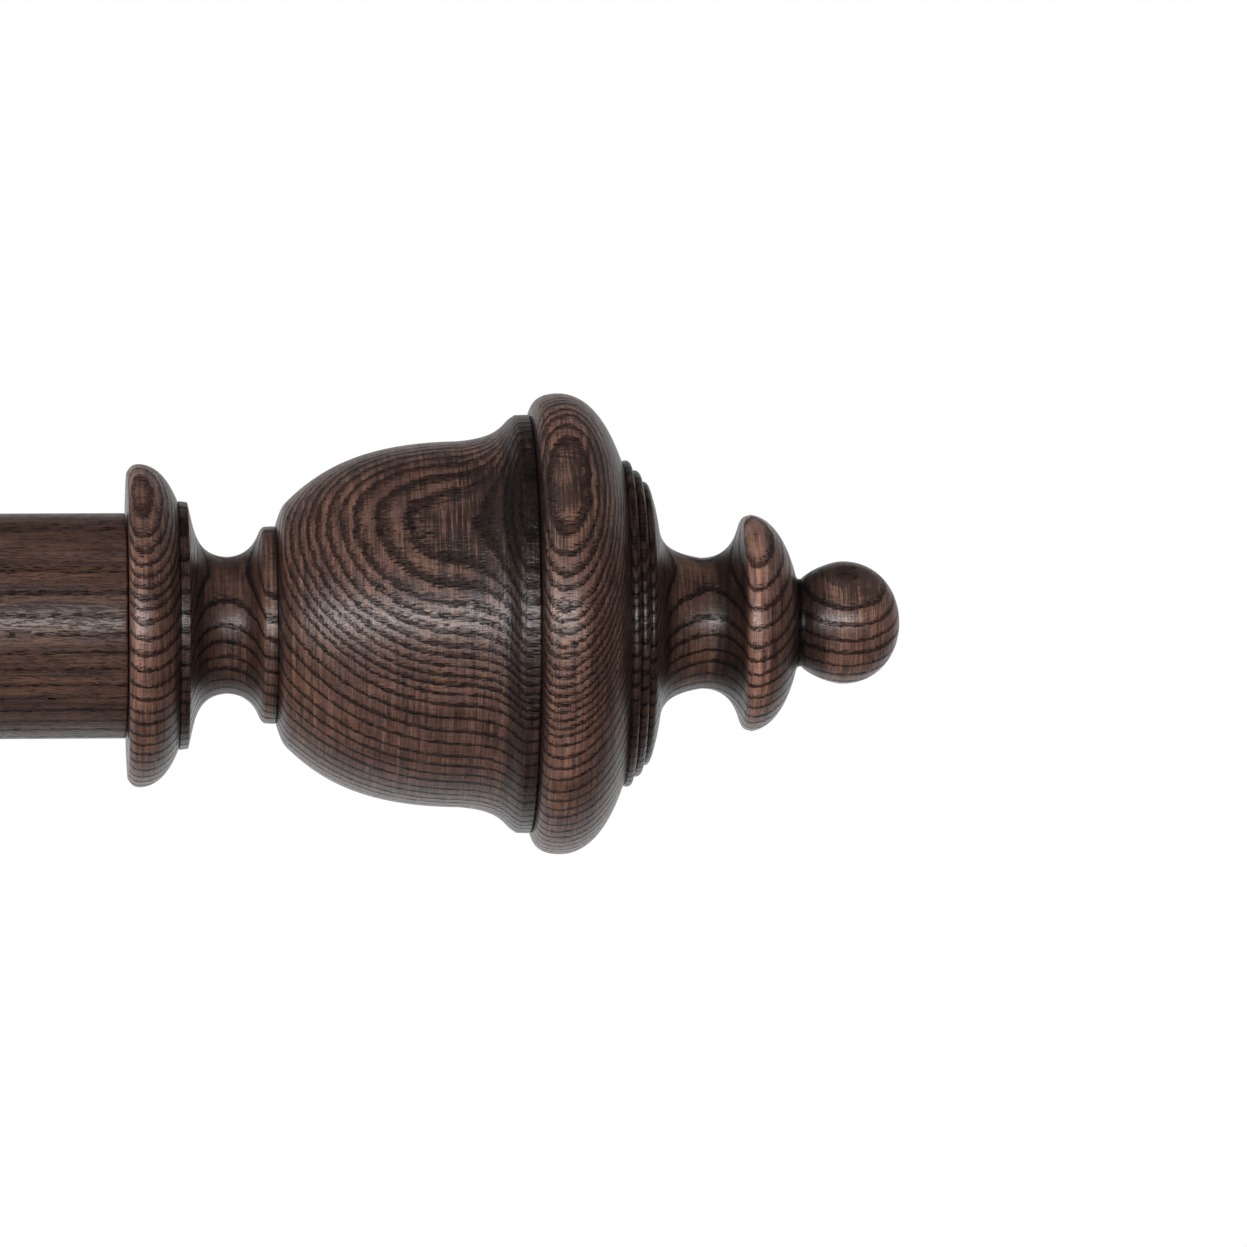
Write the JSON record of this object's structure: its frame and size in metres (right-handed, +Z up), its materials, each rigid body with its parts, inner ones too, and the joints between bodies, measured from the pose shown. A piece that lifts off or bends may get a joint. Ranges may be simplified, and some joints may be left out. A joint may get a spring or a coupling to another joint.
{
  "type": "curtain rod with brackets",
  "caption": "Round wooden curtain pole that lifts out of open turned wall brackets, with urn-shaped turned finials that unscrew from its ends.",
  "frame": {"origin": "centre of the left wall plate's back face, on the wall and level with the pole's axis", "axes": "+X along the pole to the right as seen from the room, +Y into the wall, +Z up"},
  "size_m": [1.5938, 0.1536, 0.1172],
  "materials": {
    "toasted_oak_finial": "dark toasted oak, open grain, satin lacquer",
    "toasted_oak_pole": "dark toasted oak, straight grain, satin lacquer",
    "toasted_oak_bracket": "dark toasted oak, open grain, satin lacquer",
    "beech_dowel": "bare pale beech",
    "zinc_plated_steel": "bright zinc plate",
    "brass": "plain machined brass",
    "black_fibre": "matt black fibre sheet"
  },
  "bodies": {
    "brackets": {"wall_plate_left": "zinc_plated_steel", "wall_stud_left": "zinc_plated_steel", "rosette_left": "toasted_oak_bracket", "arm_left": "toasted_oak_bracket", "arm_insert_left": "brass", "cradle_left": "toasted_oak_bracket", "cradle_dowel_left": "beech_dowel", "wall_plate_right": "zinc_plated_steel", "wall_stud_right": "zinc_plated_steel", "rosette_right": "toasted_oak_bracket", "arm_right": "toasted_oak_bracket", "arm_insert_right": "brass", "cradle_right": "toasted_oak_bracket", "cradle_dowel_right": "beech_dowel"},
    "pole": {"pole": "toasted_oak_pole", "pole_insert_left": "brass", "pole_insert_right": "brass"},
    "left_washer": {"finial_washer_left": "black_fibre"},
    "left_finial": {"finial_left": "toasted_oak_finial", "finial_bolt_left": "zinc_plated_steel"},
    "right_washer": {"finial_washer_right": "black_fibre"},
    "right_finial": {"finial_right": "toasted_oak_finial", "finial_bolt_right": "zinc_plated_steel"},
    "left_cup": {"screw_cup_left": "brass"},
    "left_screw": {"retaining_screw_left": "brass"},
    "right_cup": {"screw_cup_right": "brass"},
    "right_screw": {"retaining_screw_right": "brass"}
  },
  "joints": [
    {"name": "pole_lift", "type": "slide", "parent": "brackets", "child": "pole", "axis": [0, 0, 1], "range_m": [0, 0.06]},
    {"name": "left_finial_travel", "type": "slide", "parent": "pole", "child": "left_washer", "axis": [-1, 0, 0], "range_m": [0, 0.0226]},
    {"name": "left_finial_turn", "type": "hinge", "parent": "left_washer", "child": "left_finial", "pos_m": [-0.1153, -0.095, 0], "axis": [-1, 0, 0], "range_deg": [0, 5760]},
    {"name": "right_finial_travel", "type": "slide", "parent": "pole", "child": "right_washer", "axis": [1, 0, 0], "range_m": [0, 0.0226]},
    {"name": "right_finial_turn", "type": "hinge", "parent": "right_washer", "child": "right_finial", "pos_m": [1.0853, -0.095, 0], "axis": [1, 0, 0], "range_deg": [0, 5760]},
    {"name": "left_screw_travel", "type": "slide", "parent": "brackets", "child": "left_cup", "axis": [0, 0, -1], "range_m": [0, 0.0238]},
    {"name": "left_screw_turn", "type": "hinge", "parent": "left_cup", "child": "left_screw", "pos_m": [0, -0.095, -0.0399], "axis": [0, 0, -1], "range_deg": [0, 3065]},
    {"name": "right_screw_travel", "type": "slide", "parent": "brackets", "child": "right_cup", "axis": [0, 0, -1], "range_m": [0, 0.0238]},
    {"name": "right_screw_turn", "type": "hinge", "parent": "right_cup", "child": "right_screw", "pos_m": [0.97, -0.095, -0.0399], "axis": [0, 0, -1], "range_deg": [0, 3065]}
  ],
  "couplings": [
    {"joint": "left_finial_travel", "follows": "left_finial_turn", "m_per_rad": 0.00022458},
    {"joint": "right_finial_travel", "follows": "right_finial_turn", "m_per_rad": 0.00022458},
    {"joint": "left_screw_turn", "follows": "left_screw_travel", "rad_per_m": 2244},
    {"joint": "right_screw_turn", "follows": "right_screw_travel", "rad_per_m": 2244}
  ]
}
